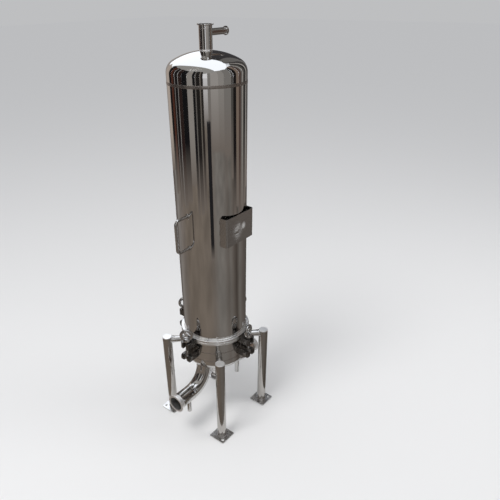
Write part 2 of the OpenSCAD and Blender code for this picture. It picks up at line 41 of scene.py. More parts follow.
# The camera stands at the photo's point of view, 1.6 m above the floor and
# 1.66 m from the axis of the housing, and looks down at it with a 35 mm lens.
# The photograph was trimmed after it was taken, which the two shifts repeat.
camera_place = Vector((-1.250, -1.0982, 1.606))
camera_forward = Vector((0.6466, 0.5291, -0.5496))
camera_roll = math.radians(-0.82)
lens = bpy.data.cameras.new("photo_camera")
lens.lens = 35.0
lens.sensor_width = 36.0
lens.shift_x = 0.042
lens.shift_y = 0.120
camera = bpy.data.objects.new("photo_camera", lens)
scene.collection.objects.link(camera)
look = camera_forward.to_track_quat("-Z", "Y").to_matrix().to_4x4()
camera.matrix_world = (Matrix.Translation(camera_place) @ look
    @ Matrix.Rotation(camera_roll, 4, "Z"))
scene.camera = camera

# The floor is a plain pale sheet without gloss. It carries the four foot plates
# at height 0 and takes the soft shadow.
bpy.ops.object.select_all(action="DESELECT")
bpy.ops.mesh.primitive_plane_add(size=60)
floor = bpy.context.object
floor.name = "studio_floor"
floor_paint = bpy.data.materials.new("pale_floor")
floor_paint.use_nodes = True
floor_shader = floor_paint.node_tree.nodes["Principled BSDF"]
floor_shader.inputs["Base Color"].default_value = (0.80, 0.795, 0.79, 1)
floor_shader.inputs["Roughness"].default_value = 0.8
floor_shader.inputs["Specular IOR Level"].default_value = 0
floor.data.materials.append(floor_paint)

# Two soft lamps in pale grey air: a large one high on the left, which gives the
# soft shadow, and a weaker one on the right that opens the dark side.
air = bpy.data.worlds.new("studio_air")
air.use_nodes = True
tree, link = air.node_tree.nodes, air.node_tree.links.new
seen = tree.new("ShaderNodeLightPath")
backdrop = tree.new("ShaderNodeMix")
backdrop.data_type = "RGBA"
backdrop.inputs["A"].default_value = (0.63, 0.64, 0.66, 1)
backdrop.inputs["B"].default_value = (0.515, 0.52, 0.53, 1)
link(seen.outputs["Is Camera Ray"], backdrop.inputs["Factor"])
link(backdrop.outputs["Result"], tree["Background"].inputs["Color"])
scene.world = air
lamp_size, lamp_aim = 1.8, Vector((0, 0, 0.8))
for name, place, power, mirrored in (("key_lamp", (-2.2, 0.2, 4.3), 95, True),
        ("fill_lamp", (1.8, -2.4, 2.6), 24, False)):
    bulb = bpy.data.lights.new(name, "AREA")
    bulb.shape = "DISK"
    bulb.size = lamp_size
    bulb.energy = power
    lamp = bpy.data.objects.new(name, bulb)
    scene.collection.objects.link(lamp)
    lamp.location = place
    lamp.rotation_euler = (lamp_aim - Vector(place)).to_track_quat("-Z", "Y").to_euler()
    lamp.visible_glossy = mirrored

# Polished steel only shows what stands round it, so the studio sets up cards for
# it to mirror: a bright sky, a canopy, brown-grey ground further out, and a ring
# of dark and pale uprights. They are seen in reflections alone and light nothing.
camera_bearing = math.degrees(math.atan2(camera_place.y, camera_place.x))
ground_tone = (0.215, 0.185, 0.165)
foot_edge = 0.5


def mirror_card(card, name, colour, foot_colour=None, fade=None):
    """Gives a card its glow. With a foot colour, it fades to that over a share of its height.

    Such a card is a plane of side 1 that stands on its +X edge.
    """
    glow = bpy.data.materials.new(name)
    glow.use_nodes = True
    tree, link = glow.node_tree.nodes, glow.node_tree.links.new
    tree.remove(tree["Principled BSDF"])
    emit = tree.new("ShaderNodeEmission")
    emit.inputs["Color"].default_value = (*colour, 1)
    link(emit.outputs[0], tree["Material Output"].inputs["Surface"])
    if foot_colour:
        place = tree.new("ShaderNodeTexCoord")
        parts = tree.new("ShaderNodeSeparateXYZ")
        link(place.outputs["Object"], parts.inputs[0])
        rise = tree.new("ShaderNodeMapRange")
        rise.inputs["From Min"].default_value = foot_edge
        rise.inputs["From Max"].default_value = foot_edge - fade
        link(parts.outputs["X"], rise.inputs["Value"])
        blend = tree.new("ShaderNodeMix")
        blend.data_type = "RGBA"
        blend.inputs["A"].default_value = (*foot_colour, 1)
        blend.inputs["B"].default_value = (*colour, 1)
        link(rise.outputs["Result"], blend.inputs["Factor"])
        link(blend.outputs["Result"], emit.inputs["Color"])
    card.name = name
    card.data.materials.append(glow)
    card.visible_camera = False
    card.visible_diffuse = False
    card.visible_shadow = False
    return glow


bpy.ops.object.select_all(action="DESELECT")
bpy.ops.mesh.primitive_uv_sphere_add(segments=64, ring_count=32, radius=16)
bpy.ops.object.shade_smooth()
mirror_card(bpy.context.object, "bright_sky", (1.50, 1.58, 1.70))

# The ground starts just outside the feet, and its tone changes with the bearing
# from the camera.
ground_start, ground_reach, ground_height = 0.29, 9.0, 0.004
bpy.ops.object.select_all(action="DESELECT")
bpy.ops.mesh.primitive_circle_add(vertices=96, radius=ground_reach, fill_type="NOTHING",
    location=(0, 0, ground_height))
ground = bpy.context.object
bpy.ops.object.mode_set(mode="EDIT")
bpy.ops.mesh.extrude_edges_move()
bpy.ops.transform.resize(value=(ground_start / ground_reach, ground_start / ground_reach, 1))
bpy.ops.object.mode_set(mode="OBJECT")
ground.rotation_euler = (0, 0, math.radians(camera_bearing))
ground_glow = mirror_card(ground, "brown_grey_ground", ground_tone)
tree, link = ground_glow.node_tree.nodes, ground_glow.node_tree.links.new
spot = tree.new("ShaderNodeTexCoord")
round_about = tree.new("ShaderNodeTexGradient")
round_about.gradient_type = "RADIAL"
link(spot.outputs["Object"], round_about.inputs["Vector"])
tones = tree.new("ShaderNodeValToRGB")
sectors = [(-180, (0.08, 0.07, 0.06)), (-150, (0.12, 0.10, 0.09)), (-132, (0.28, 0.26, 0.245)),
    (-112, (0.245, 0.215, 0.195)), (-85, (0.215, 0.18, 0.15)), (-30, (0.225, 0.19, 0.16)),
    (-10, (0.20, 0.17, 0.145)), (4, (0.205, 0.18, 0.16)), (18, (0.235, 0.22, 0.205)),
    (34, (0.225, 0.21, 0.195)), (52, (0.18, 0.16, 0.145)), (60, (0.20, 0.185, 0.17)),
    (70, (0.165, 0.145, 0.13)), (84, (0.08, 0.066, 0.057)), (100, (0.20, 0.185, 0.17)),
    (118, (0.14, 0.12, 0.11)), (150, (0.09, 0.08, 0.07)), (180, (0.08, 0.07, 0.06))]
stops = tones.color_ramp.elements
for number, (bearing, colour) in enumerate(sectors):
    stop = stops[number] if number < 2 else stops.new(1.0)
    stop.position = 0.5 + bearing / 360
    stop.color = (*colour, 1)
link(round_about.outputs["Fac"], tones.inputs["Fac"])
patches = tree.new("ShaderNodeTexNoise")
patches.inputs["Scale"].default_value = 1.6
patches.inputs["Detail"].default_value = 3
link(spot.outputs["Object"], patches.inputs["Vector"])
worn = tree.new("ShaderNodeMapRange")
worn.inputs["From Min"].default_value = 0.3
worn.inputs["From Max"].default_value = 0.7
worn.inputs["To Min"].default_value = 0.82
worn.inputs["To Max"].default_value = 1.16
link(patches.outputs["Fac"], worn.inputs["Value"])
shaded = tree.new("ShaderNodeVectorMath")
shaded.operation = "SCALE"
link(tones.outputs["Color"], shaded.inputs[0])
link(worn.outputs["Result"], shaded.inputs["Scale"])
link(shaded.outputs[0], tree["Emission"].inputs["Color"])

# Uprights: first and last bearing from the camera's own, left below 0 and right
# above 0, distance, height over the dome in degrees, and colour.
uprights = [(-182, -150, 3.5, 14, (0.34, 0.31, 0.29)), (-150, -128, 3.6, 24, (0.50, 0.43, 0.38)),
    (-128, -116, 2.9, 43, (0.012, 0.011, 0.012)), (-116, -106, 3.0, 43, (0.09, 0.033, 0.022)),
    (-106, -101, 2.6, 43, (0.014, 0.012, 0.012)), (-101, -99, 2.9, 30, (0.3, 0.28, 0.27)),
    (-99, -88, 2.7, 43, (0.015, 0.013, 0.014)), (-88, -86, 2.5, 30, (0.34, 0.33, 0.32)),
    (-86, -74, 2.6, 43, (0.03, 0.018, 0.016)), (-74, -57, 2.75, 43, (0.01, 0.01, 0.011)),
    (-57, -40, 3.2, 42, (0.34, 0.32, 0.30)), (-40, -33, 2.5, 43, (0.012, 0.012, 0.013)),
    (-33, -30, 2.8, 40, (0.16, 0.15, 0.14)), (-30, -20, 2.5, 43, (0.02, 0.018, 0.017)),
    (-20, -17, 2.7, 40, (0.18, 0.16, 0.14)), (-17, -11, 2.6, 43, (0.03, 0.026, 0.024)),
    (-11, 1, 5.6, 43, (0.95, 0.96, 1.0)), (-4, 6, 1.65, -17.2, (0.02, 0.02, 0.022)),
    (1, 9, 4.6, 44, (0.25, 0.24, 0.23)), (9, 30, 4.4, 44, (0.40, 0.38, 0.365)),
    (30, 46, 4.4, 44, (0.33, 0.315, 0.30)), (46, 68, 4.2, 46, (0.24, 0.23, 0.22)),
    (68, 75, 3.4, 48, (0.09, 0.085, 0.08)), (75, 86, 2.3, 50, (0.015, 0.013, 0.013)),
    (86, 97, 2.6, 55, (0.24, 0.185, 0.15)), (97, 106, 2.2, 52, (0.09, 0.06, 0.05)),
    (106, 113, 2.6, 58, (0.16, 0.15, 0.145)), (113, 117, 2.4, 50, (0.42, 0.40, 0.37)),
    (117, 127, 2.4, 52, (0.10, 0.095, 0.09)), (127, 135, 2.6, 57, (0.015, 0.015, 0.016)),
    (135, 142, 2.6, 50, (0.40, 0.38, 0.36)), (142, 156, 3.0, 54, (0.07, 0.065, 0.065)),
    (156, 164, 3.2, 50, (0.17, 0.165, 0.16)), (164, 178, 3.2, 50, (0.05, 0.048, 0.05))]
dome_height, clearance, foot_fade = 1.45, 0.01, 0.13
for number, (start, end, distance, rise, colour) in enumerate(uprights):
    bpy.ops.object.select_all(action="DESELECT")
    bpy.ops.mesh.primitive_plane_add(size=1)
    height = dome_height + distance * math.tan(math.radians(rise))
    width = 2 * distance * math.tan(math.radians((end - start) / 2))
    bpy.context.object.matrix_world = (
        Matrix.Rotation(math.radians(camera_bearing + (start + end) / 2), 4, "Z")
        @ Matrix.Translation((distance, 0, clearance + height / 2))
        @ Matrix.Rotation(math.pi / 2, 4, "Y")
        @ Matrix.Diagonal((height, width, 1, 1)))
    mirror_card(bpy.context.object, f"upright_{number}", colour, ground_tone, foot_fade)

# The canopy covers the left of the camera's side and ends in a straight edge
# that passes almost over the housing.
canopy_place, canopy_turn, canopy_length, canopy_width = (1.38, -2.74, 3.6), 39, 7.5, 5.0
bpy.ops.object.select_all(action="DESELECT")
bpy.ops.mesh.primitive_plane_add(size=1)
bpy.context.object.matrix_world = (Matrix.Rotation(math.radians(camera_bearing), 4, "Z")
    @ Matrix.Translation(canopy_place) @ Matrix.Rotation(math.radians(canopy_turn), 4, "Z")
    @ Matrix.Diagonal((canopy_length, canopy_width, 1, 1)))
mirror_card(bpy.context.object, "grey_canopy", (0.37, 0.365, 0.355))

# Four legs of thick stainless tube stand on square foot plates. Each is welded to
# its plate, closed with a turned cap and held to the base by a short tube arm.
# All of it is polished by hand, which leaves a faint ripple and a faint haze.
hand_polish = bpy.data.node_groups.new("hand_polish", "ShaderNodeTree")
for label, way, kind in (("Place", "INPUT", "Vector"), ("Ripple Scale", "INPUT", "Float"),
        ("Haze Scale", "INPUT", "Float"), ("Ripple", "OUTPUT", "Float"),
        ("Haze", "OUTPUT", "Float")):
    hand_polish.interface.new_socket(label, in_out=way, socket_type="NodeSocket" + kind)
tree, link = hand_polish.nodes, hand_polish.links.new
given = tree.new("NodeGroupInput")
result = tree.new("NodeGroupOutput")
stretch = tree.new("ShaderNodeVectorMath")
stretch.operation = "MULTIPLY"
stretch.inputs[1].default_value = (1, 1, 0.22)
link(given.outputs["Place"], stretch.inputs[0])
ripple = tree.new("ShaderNodeTexNoise")
ripple.inputs["Detail"].default_value = 1.5
link(stretch.outputs[0], ripple.inputs["Vector"])
link(given.outputs["Ripple Scale"], ripple.inputs["Scale"])
haze = tree.new("ShaderNodeTexNoise")
haze.inputs["Detail"].default_value = 5
haze.inputs["Roughness"].default_value = 0.6
link(given.outputs["Place"], haze.inputs["Vector"])
link(given.outputs["Haze Scale"], haze.inputs["Scale"])
link(ripple.outputs["Fac"], result.inputs["Ripple"])
link(haze.outputs["Fac"], result.inputs["Haze"])


def polished_metal(name, tint, hazy_tint, roughness, ripple_scale, ripple_depth, haze_scale):
    """Bare metal: tints of clear and hazy places, lowest and highest roughness."""
    metal = bpy.data.materials.new(name)
    metal.use_nodes = True
    tree, link = metal.node_tree.nodes, metal.node_tree.links.new
    shader = tree["Principled BSDF"]
    shader.inputs["Metallic"].default_value = 1.0
    place = tree.new("ShaderNodeTexCoord")
    polish = tree.new("ShaderNodeGroup")
    polish.node_tree = hand_polish
    polish.inputs["Ripple Scale"].default_value = ripple_scale
    polish.inputs["Haze Scale"].default_value = haze_scale
    link(place.outputs["Object"], polish.inputs["Place"])
    shade = tree.new("ShaderNodeMix")
    shade.name = "shade"
    shade.data_type = "RGBA"
    shade.inputs["A"].default_value = (*tint, 1)
    shade.inputs["B"].default_value = (*hazy_tint, 1)
    link(polish.outputs["Haze"], shade.inputs["Factor"])
    link(shade.outputs["Result"], shader.inputs["Base Color"])
    rough = tree.new("ShaderNodeMapRange")
    rough.name = "rough"
    rough.inputs["From Min"].default_value = 0.3
    rough.inputs["From Max"].default_value = 0.7
    rough.inputs["To Min"].default_value = roughness[0]
    rough.inputs["To Max"].default_value = roughness[1]
    link(polish.outputs["Haze"], rough.inputs["Value"])
    link(rough.outputs["Result"], shader.inputs["Roughness"])
    bump = tree.new("ShaderNodeBump")
    bump.inputs["Distance"].default_value = ripple_depth
    link(polish.outputs["Ripple"], bump.inputs["Height"])
    link(bump.outputs["Normal"], shader.inputs["Normal"])
    return metal


def dress(metal, *names):
    """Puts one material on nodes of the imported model."""
    for name in names:
        nodes[name].data.materials.clear()
        nodes[name].data.materials.append(metal)


# Painted shade: the legs' tint is kept darker than the other steel, for the dark surroundings they
# mirror.
tube_steel = polished_metal("tube_steel",
    tint=(0.52, 0.50, 0.475), hazy_tint=(0.44, 0.42, 0.40), roughness=(0.06, 0.14),
    ripple_scale=22, ripple_depth=0.0002, haze_scale=18)
dress(tube_steel, "leg_1", "leg_2", "leg_3", "leg_4")
arm_steel = polished_metal("arm_steel",
    tint=(0.64, 0.63, 0.615), hazy_tint=(0.52, 0.51, 0.495), roughness=(0.16, 0.28),
    ripple_scale=30, ripple_depth=0.00005, haze_scale=40)
dress(arm_steel, "leg_arms")
# Painted highlight: the caps' near-white tint stands in for the bright sky their tops mirror.
cap_steel = polished_metal("cap_steel",
    tint=(0.95, 0.945, 0.935), hazy_tint=(0.86, 0.85, 0.84), roughness=(0.30, 0.44),
    ripple_scale=30, ripple_depth=0.00005, haze_scale=40)
dress(cap_steel, "leg_caps")
plate_steel = polished_metal("plate_steel",
    tint=(0.76, 0.755, 0.745), hazy_tint=(0.60, 0.59, 0.58), roughness=(0.16, 0.30),
    ripple_scale=40, ripple_depth=0.0001, haze_scale=34)
dress(plate_steel, "foot_plates")

# Every joint of the housing is welded by hand and then brushed, so its bead is
# finely rippled. The beads of one place are one piece.
weld_metal = polished_metal("weld_metal",
    tint=(0.62, 0.61, 0.60), hazy_tint=(0.40, 0.385, 0.37), roughness=(0.18, 0.34),
    ripple_scale=420, ripple_depth=0.0005, haze_scale=160)


def lay_on(weld, node):
    """Moves an outline along its own Z axis until it lies on the node's surface."""
    lay = weld.modifiers.new("lay", "SHRINKWRAP")
    lay.target = nodes[node]
    lay.wrap_method = "PROJECT"
    lay.use_project_z = True
    lay.use_positive_direction = True
    lay.use_negative_direction = False
    bpy.context.view_layer.objects.active = weld
    bpy.ops.object.modifier_apply(modifier="lay")


unevenness, same_point = 0.12, 1e-6


def finish_bead(weld, bead):
    """Turns an outline into a bead of that radius with a hand-laid, uneven surface."""
    bpy.ops.object.convert(target="CURVE")
    weld.data.bevel_depth = bead
    weld.data.bevel_resolution = 1
    weld.data.use_fill_caps = True
    bpy.ops.object.convert(target="MESH")
    bpy.ops.object.mode_set(mode="EDIT")
    bpy.ops.mesh.select_all(action="SELECT")
    bpy.ops.mesh.remove_doubles(threshold=same_point)
    bpy.ops.transform.vertex_random(offset=unevenness * bead, seed=3)
    bpy.ops.mesh.normals_make_consistent(inside=False)
    bpy.ops.object.mode_set(mode="OBJECT")
    bpy.ops.object.shade_smooth()
    bpy.ops.object.transform_apply(location=True, rotation=True, scale=True)
    return weld


def weld_bead(centre, axis, radius, bead, onto=None, segments=72):
    """A round bead about an axis. Where a node is named, it starts a little way off
    the node's surface and is laid on it along the axis.
    """
    bpy.ops.object.select_all(action="DESELECT")
    bpy.ops.mesh.primitive_circle_add(vertices=segments, radius=radius, location=centre,
        rotation=Vector(axis).to_track_quat("Z", "Y").to_euler())
    weld = bpy.context.object
    if onto:
        lay_on(weld, onto)
    return finish_bead(weld, bead)


def weld_group(name, beads, metal=weld_metal):
    """Makes the beads of one place one piece of the housing."""
    bpy.ops.object.select_all(action="DESELECT")
    for bead in beads:
        bead.select_set(True)
    bpy.context.view_layer.objects.active = beads[0]
    if len(beads) > 1:
        bpy.ops.object.join()
    piece = bpy.context.object
    piece.name = name
    piece.data.materials.clear()
    piece.data.materials.append(metal)
    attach(piece, "housing")


up = (0, 0, 1)
leg_reach, leg_radius, foot_top, foot_bead = 0.204, 0.01905, 0.006, 0.0016
off_shell, off_leg = 0.15, leg_reach - 0.03
arm_radius, arm_height, arm_bead = 0.014, 0.382, 0.0014
leg_beads = []
for number, angle in enumerate((225, 315, 45, 135), 1):
    out = Vector((math.cos(math.radians(angle)), math.sin(math.radians(angle)), 0))
    foot = out * leg_reach
    leg_beads.append(weld_bead((foot.x, foot.y, foot_top), up, leg_radius, foot_bead))
    for reach, towards, onto in ((off_leg, out, f"leg_{number}"),
            (off_shell, -out, "base_shell")):
        start = out * reach
        leg_beads.append(weld_bead((start.x, start.y, arm_height), towards, arm_radius,
            arm_bead, onto))
weld_group("leg_welds", leg_beads)

# The base is a short shell with a thick ring on top and a dished bottom, all of
# sheet that is rolled, welded, ground flush and polished until it mirrors. The
# ground seams stay visible as a faint band.
shell_steel = polished_metal("shell_steel",
    tint=(0.64, 0.63, 0.615), hazy_tint=(0.60, 0.585, 0.565), roughness=(0.03, 0.07),
    ripple_scale=5, ripple_depth=0.0008, haze_scale=9)
dress(shell_steel, "base_shell", "base_dish")
# Painted highlight: the near-white tint of the rings and their fillets stands in for the bright sky
# their rounded tops mirror.
ring_steel = polished_metal("ring_steel",
    tint=(0.93, 0.925, 0.915), hazy_tint=(0.86, 0.855, 0.845), roughness=(0.24, 0.34),
    ripple_scale=30, ripple_depth=0.00003, haze_scale=30)
seam_steel = polished_metal("seam_steel",
    tint=(0.37, 0.34, 0.315), hazy_tint=(0.30, 0.27, 0.245), roughness=(0.30, 0.42),
    ripple_scale=60, ripple_depth=0.00003, haze_scale=50)
dress(ring_steel, "base_ring")
shell_radius, stood_up, crease_angle = 0.127, (math.pi / 2, 0, 0), math.radians(35)


def ground_seam(height, half_band, proud, rounding):
    """A closed band round the shell: a rounded rectangle spun about the axis."""
    bpy.ops.object.select_all(action="DESELECT")
    bpy.ops.mesh.primitive_plane_add(size=2, location=(shell_radius, 0, height), rotation=stood_up)
    seam = bpy.context.object
    seam.scale = (proud, half_band, 1)
    bpy.ops.object.transform_apply(location=True, rotation=True, scale=True)
    bpy.ops.object.mode_set(mode="EDIT")
    bpy.ops.mesh.select_all(action="SELECT")
    bpy.ops.mesh.bevel(offset=rounding, segments=3, affect="VERTICES")
    bpy.ops.mesh.select_all(action="SELECT")
    bpy.ops.mesh.delete(type="ONLY_FACE")
    bpy.ops.mesh.select_all(action="SELECT")
    bpy.ops.mesh.spin(steps=192, angle=2 * math.pi, center=(0, 0, 0), axis=(0, 0, 1))
    bpy.ops.mesh.select_all(action="SELECT")
    bpy.ops.mesh.remove_doubles(threshold=same_point)
    bpy.ops.mesh.normals_make_consistent(inside=False)
    bpy.ops.object.mode_set(mode="OBJECT")
    bpy.ops.object.shade_smooth_by_angle(angle=crease_angle)
    return seam


ring_foot, shell_seam, dish_seam = 0.434, 0.386, 0.344
weld_group("base_seams", [ground_seam(height, half_band=0.0016, proud=0.0003, rounding=0.0002)
    for height in (shell_seam, dish_seam)], seam_steel)
ring_fillet = {"half_band": 0.0022, "proud": 0.0022, "rounding": 0.0018}
weld_group("base_ring_fillet", [ground_seam(ring_foot, **ring_fillet)], ring_steel)

# Inlet and outlet are the same: an elbow, a level run and a turned clamp ferrule,
# butt-welded in line. The inlet also has a riser up to the tube sheet. A short
# centre outlet and two open drain stubs are welded on from below.
pipe_steel = polished_metal("pipe_steel",
    tint=(0.66, 0.65, 0.635), hazy_tint=(0.55, 0.535, 0.52), roughness=(0.06, 0.14),
    ripple_scale=26, ripple_depth=0.0003, haze_scale=20)
dress(pipe_steel, "inlet_riser", "inlet_elbow", "outlet_elbow", "centre_outlet",
    "inlet_drain", "outlet_drain")
ferrule_steel = polished_metal("ferrule_steel",
    tint=(0.74, 0.735, 0.725), hazy_tint=(0.60, 0.59, 0.58), roughness=(0.10, 0.20),
    ripple_scale=34, ripple_depth=0.0001, haze_scale=34)
dress(ferrule_steel, "centre_ferrule")
run_height, run_radius, bore_radius = 0.187, 0.03175, 0.0301
bore_margin, bore_edge, bore_roughness = 0.0003, 0.0002, 0.32


def dull_bore(metal):
    """Makes the bore of a run duller than its outside."""
    tree, link = metal.node_tree.nodes, metal.node_tree.links.new
    place = tree.new("ShaderNodeTexCoord")
    flat = tree.new("ShaderNodeVectorMath")
    flat.operation = "MULTIPLY"
    flat.inputs[1].default_value = (0, 1, 1)
    link(place.outputs["Object"], flat.inputs[0])
    off_axis = tree.new("ShaderNodeVectorMath")
    off_axis.operation = "DISTANCE"
    off_axis.inputs[1].default_value = (0, 0, run_height)
    link(flat.outputs[0], off_axis.inputs[0])
    inside = tree.new("ShaderNodeMapRange")
    inside.inputs["From Min"].default_value = bore_radius + bore_margin + bore_edge
    inside.inputs["From Max"].default_value = bore_radius + bore_margin
    link(off_axis.outputs["Value"], inside.inputs["Value"])
    mix = tree.new("ShaderNodeMix")
    link(inside.outputs["Result"], mix.inputs["Factor"])
    link(tree["rough"].outputs["Result"], mix.inputs["A"])
    mix.inputs["B"].default_value = bore_roughness
    link(mix.outputs["Result"], tree["Principled BSDF"].inputs["Roughness"])


run_steel = polished_metal("run_steel",
    tint=(0.66, 0.65, 0.635), hazy_tint=(0.55, 0.535, 0.52), roughness=(0.06, 0.14),
    ripple_scale=26, ripple_depth=0.0003, haze_scale=20)
dull_bore(run_steel)
dress(run_steel, "inlet_pipe", "outlet_pipe")
# Painted highlight: the run ferrules' near-white tint stands in for light their rims would mirror.
run_ferrule_steel = polished_metal("run_ferrule_steel",
    tint=(0.92, 0.915, 0.905), hazy_tint=(0.82, 0.81, 0.80), roughness=(0.44, 0.58),
    ripple_scale=34, ripple_depth=0.00003, haze_scale=34)
dull_bore(run_ferrule_steel)
dress(run_ferrule_steel, "inlet_ferrule", "outlet_ferrule")
under_centre, under_elbow, under_drain = 0.24, 0.22, 0.12
elbow_place, elbow_joint, ferrule_joint = 0.08, 0.17525, 0.2405
centre_radius, centre_joint, drain_radius = 0.0254, 0.2085, 0.010
dish_bead, butt_bead, drain_bead, off_edge = 0.0014, 0.0007, 0.0012, 0.0008
pipe_beads = [weld_bead((0, 0, under_centre), up, centre_radius + off_edge, dish_bead,
    "base_dish")]
for side, drain, under in ((-1, 0.186, "inlet_pipe"), (1, 0.145, "outlet_elbow")):
    pipe_beads.append(weld_bead((side * elbow_place, 0, under_elbow), up,
        run_radius + off_edge, dish_bead, "base_dish"))
    for x in (elbow_joint, ferrule_joint):
        pipe_beads.append(weld_bead((side * x, 0, run_height), (1, 0, 0), run_radius, butt_bead))
    pipe_beads.append(weld_bead((side * drain, 0, under_drain), up, drain_radius, drain_bead,
        under, 40))
pipe_beads.append(weld_bead((0, 0, centre_joint), up, centre_radius, butt_bead))
weld_group("pipe_welds", pipe_beads)

# Inside, a thick tube sheet carries six sockets. Each cartridge plugs into one
# with a spigot and two rings, and a guide plate on three rods holds their tops.
# Cages, cores and caps are moulded, and the medium between them is pleated.
dress(shell_steel, "tube_sheet")
dress(plate_steel, "cartridge_sockets", "guide_plate", "tie_rods", "tie_rod_nuts")


def soft_material(name, colour, deep_colour, roughness, scale):
    """Moulded or cast stuff whose colour and gloss vary a little over its surface."""
    stuff = bpy.data.materials.new(name)
    stuff.use_nodes = True
    tree, link = stuff.node_tree.nodes, stuff.node_tree.links.new
    shader = tree["Principled BSDF"]
    place = tree.new("ShaderNodeTexCoord")
    cloud = tree.new("ShaderNodeTexNoise")
    cloud.inputs["Scale"].default_value = scale
    cloud.inputs["Detail"].default_value = 3
    link(place.outputs["Object"], cloud.inputs["Vector"])
    shade = tree.new("ShaderNodeMix")
    shade.data_type = "RGBA"
    shade.inputs["A"].default_value = (*colour, 1)
    shade.inputs["B"].default_value = (*deep_colour, 1)
    link(cloud.outputs["Fac"], shade.inputs["Factor"])
    link(shade.outputs["Result"], shader.inputs["Base Color"])
    rough = tree.new("ShaderNodeMapRange")
    rough.inputs["To Min"].default_value = roughness[0]
    rough.inputs["To Max"].default_value = roughness[1]
    link(cloud.outputs["Fac"], rough.inputs["Value"])
    link(rough.outputs["Result"], shader.inputs["Roughness"])
    bump = tree.new("ShaderNodeBump")
    bump.inputs["Distance"].default_value = 0.0002
    link(cloud.outputs["Fac"], bump.inputs["Height"])
    link(bump.outputs["Normal"], shader.inputs["Normal"])
    return stuff


natural_plastic = soft_material("natural_plastic",
    colour=(0.84, 0.84, 0.80), deep_colour=(0.74, 0.74, 0.69), roughness=(0.35, 0.5), scale=60)
dress(natural_plastic, "cartridge_adaptors", "cartridge_cages", "cartridge_cores",
    "cartridge_end_caps")
pleated_membrane = soft_material("pleated_membrane",
    colour=(0.88, 0.88, 0.86), deep_colour=(0.78, 0.78, 0.75), roughness=(0.85, 0.95), scale=300)
dress(pleated_membrane, "cartridge_media")

# A white silicone ring lies in the groove of the base ring and seals the bell.
# The small rings on the spigots are cast from the same rubber.
white_silicone = soft_material("white_silicone",
    colour=(0.84, 0.84, 0.82), deep_colour=(0.72, 0.72, 0.69), roughness=(0.42, 0.6), scale=45)
dress(white_silicone, "seal_ring", "cartridge_seals")

# The bell is one long shell with a dished head on top and the upper joint ring
# at its foot. The head's seam was ground by hand to a band 9 mm wide.
dress(shell_steel, "bell_shell", "bell_head")
# The bell ring and its fillet carry the same near-white painted highlight.
dress(ring_steel, "bell_ring")
head_seam, ring_top = 1.3699, 0.455
weld_group("head_seam",
    [ground_seam(head_seam, half_band=0.0046, proud=0.0004, rounding=0.0003)], seam_steel)
weld_group("bell_ring_fillet", [ground_seam(ring_top, **ring_fillet)], ring_steel)

# The vent stack is a short tube on the middle of the head with a clamp ferrule on
# top and a thin branch to one side, which ends in a small ferrule of its own. Its
# foot is ground satin just above the head, where it was welded on, and there its
# colour is mixed to near white as a painted reflection of the bright head.
stack_steel = polished_metal("stack_steel",
    tint=(0.66, 0.65, 0.635), hazy_tint=(0.58, 0.565, 0.55), roughness=(0.04, 0.10),
    ripple_scale=26, ripple_depth=0.00006, haze_scale=20)
tree, link = stack_steel.node_tree.nodes, stack_steel.node_tree.links.new
place = tree.new("ShaderNodeTexCoord")
parts = tree.new("ShaderNodeSeparateXYZ")
link(place.outputs["Object"], parts.inputs["Vector"])
foot = tree.new("ShaderNodeMapRange")
satin_and_painted_reflection_top, satin_and_painted_reflection_edge = 1.4588, 1.4580
foot.inputs["From Min"].default_value = satin_and_painted_reflection_top
foot.inputs["From Max"].default_value = satin_and_painted_reflection_edge
link(parts.outputs["Z"], foot.inputs["Value"])
satin = tree.new("ShaderNodeMix")
satin.inputs["B"].default_value = 0.42
link(foot.outputs["Result"], satin.inputs["Factor"])
link(tree["rough"].outputs["Result"], satin.inputs["A"])
link(satin.outputs["Result"], tree["Principled BSDF"].inputs["Roughness"])
# Painted reflection: in the satin band the base colour is mixed to near white.
bright = tree.new("ShaderNodeMix")
bright.data_type = "RGBA"
bright.inputs["B"].default_value = (0.96, 0.955, 0.945, 1)
link(foot.outputs["Result"], bright.inputs["Factor"])
link(tree["shade"].outputs["Result"], bright.inputs["A"])
link(bright.outputs["Result"], tree["Principled BSDF"].inputs["Base Color"])
dress(stack_steel, "vent_stack", "vent_branch")
dress(ferrule_steel, "vent_ferrule", "branch_ferrule")
stack_radius, stack_joint = 0.0205, 1.5122
branch_radius, branch_height, branch_joint = 0.009525, 1.5019, 0.0838
weld_group("vent_welds", [
    weld_bead((0, 0, 1.49), (0, 0, -1), stack_radius, bead=0.0015, onto="bell_head"),
    weld_bead((0, 0, stack_joint), up, stack_radius, bead=0.0006),
    weld_bead((0.035, 0, branch_height), (-1, 0, 0), branch_radius, bead=0.0011,
        onto="vent_stack", segments=40),
    weld_bead((branch_joint, 0, branch_height), (1, 0, 0), branch_radius, bead=0.0005,
        segments=40)])

# Two bent rods are the handles by which the bell is lifted. Each leg of a handle
# stands in a small collar that is welded to the shell.
handle_steel = polished_metal("handle_steel",
    tint=(0.60, 0.585, 0.57), hazy_tint=(0.48, 0.465, 0.45), roughness=(0.10, 0.20),
    ripple_scale=40, ripple_depth=0.00005, haze_scale=40)
dress(handle_steel, "handle_inlet_side", "handle_outlet_side")
handle_height, leg_rise, collar_radius = 0.9006, 0.06, 0.0085
weld_group("handle_welds", [
    weld_bead((side * off_shell, 0, handle_height + rise), (-side, 0, 0), collar_radius, bead=0.001,
        onto="bell_shell", segments=40)
    for side in (-1, 1) for rise in (-leg_rise, leg_rise)])

# The nameplate bracket is folded from brushed sheet and stitch-welded to the
# shell along both edges. Its face is bare, and wiped dust has dried on it.
bracket_steel = polished_metal("bracket_steel",
    tint=(0.50, 0.485, 0.47), hazy_tint=(0.40, 0.385, 0.37), roughness=(0.18, 0.28),
    ripple_scale=30, ripple_depth=0.00003, haze_scale=26)
tree, link = bracket_steel.node_tree.nodes, bracket_steel.node_tree.links.new
place = tree.new("ShaderNodeTexCoord")


